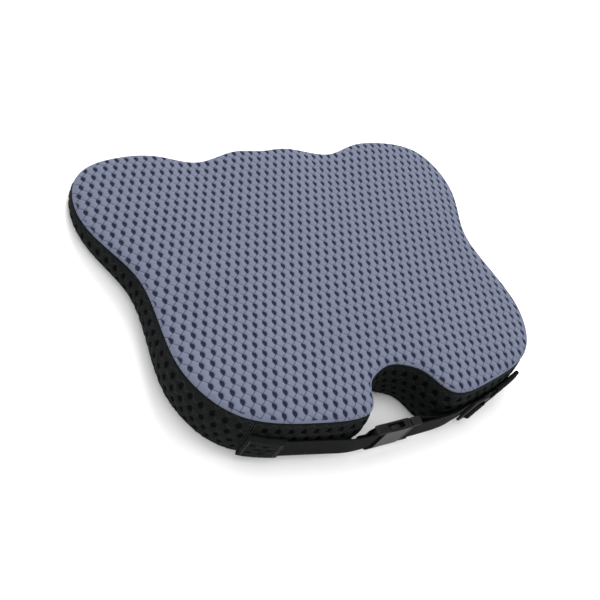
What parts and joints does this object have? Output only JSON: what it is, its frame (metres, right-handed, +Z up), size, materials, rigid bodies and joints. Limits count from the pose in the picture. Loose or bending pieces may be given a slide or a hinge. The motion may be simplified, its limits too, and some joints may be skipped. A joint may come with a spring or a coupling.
{
  "type": "wedge seat cushion",
  "caption": "Wedge-shaped ergonomic seat cushion with a waisted outline, tail-bone notch, zipped mesh cover and a rear strap with a side-release buckle.",
  "frame": {"origin": "a point on the flat underside, on the centre line and 168 mm behind the front edge", "axes": "+Z up from the seat it rests on, +Y to the rear edge with the notch and strap, +X to the side of the buckle's socket"},
  "size_m": [0.455, 0.36, 0.0673],
  "materials": {
    "foam": "matte memory foam",
    "blue_mesh": "matte knitted air mesh",
    "black_mesh": "matte knitted air mesh",
    "grip_fabric": "matte cloth with grip dots",
    "zip_tape": "matte woven tape",
    "zip_coil": "satin nylon",
    "zip_metal": "dark satin",
    "webbing": "flat woven webbing",
    "black_plastic": "moulded, semi-gloss"
  },
  "bodies": {
    "cushion": {"foam_core": "foam", "top_panel": "blue_mesh", "side_band_front": "black_mesh", "side_band_rear": "black_mesh", "bottom_panel_front": "grip_fabric", "bottom_panel_rear": "grip_fabric", "zip_tape_front": "zip_tape", "zip_tape_rear": "zip_tape", "zip_coil_front": "zip_coil", "zip_coil_rear": "zip_coil", "zip_stop_left": "zip_metal", "zip_stop_right": "zip_metal", "tab_left": "black_mesh", "tab_right": "black_mesh", "strap_left": "webbing", "strap_right": "webbing", "buckle_socket": "black_plastic"},
    "buckle_plug": {"buckle_plug": "black_plastic"},
    "buckle_arm_upper": {"buckle_arm_upper": "black_plastic"},
    "buckle_arm_lower": {"buckle_arm_lower": "black_plastic"},
    "adjuster": {"strap_adjuster": "black_plastic", "adjuster_loop": "webbing"},
    "zip_slider": {"zip_slider": "zip_metal"},
    "zip_pull": {"zip_pull": "zip_metal"}
  },
  "joints": [
    {"name": "plug_slide", "type": "slide", "parent": "cushion", "child": "buckle_plug", "axis": [-1, 0, 0], "range_m": [0, 0.03], "deforming": ["strap_right"]},
    {"name": "arm_upper_press", "type": "hinge", "parent": "buckle_plug", "child": "buckle_arm_upper", "pos_m": [-0.0038, 0.1865, 0.0378], "axis": [0, 1, 0], "range_deg": [0, 5.5]},
    {"name": "arm_lower_press", "type": "hinge", "parent": "buckle_plug", "child": "buckle_arm_lower", "pos_m": [-0.0038, 0.1865, 0.0182], "axis": [0, -1, 0], "range_deg": [0, 5.5]},
    {"name": "adjuster_slide", "type": "slide", "parent": "cushion", "child": "adjuster", "axis": [0.9806, 0.1962, 0], "range_m": [-0.01, 0.022]},
    {"name": "zip_slide", "type": "slide", "parent": "cushion", "child": "zip_slider", "axis": [-1, 0, 0], "range_m": [0, 0.35]},
    {"name": "zip_pull_hinge", "type": "hinge", "parent": "zip_slider", "child": "zip_pull", "pos_m": [0.17515, -0.06, 0.00115], "axis": [0, -1, 0], "range_deg": [0, 150]}
  ]
}
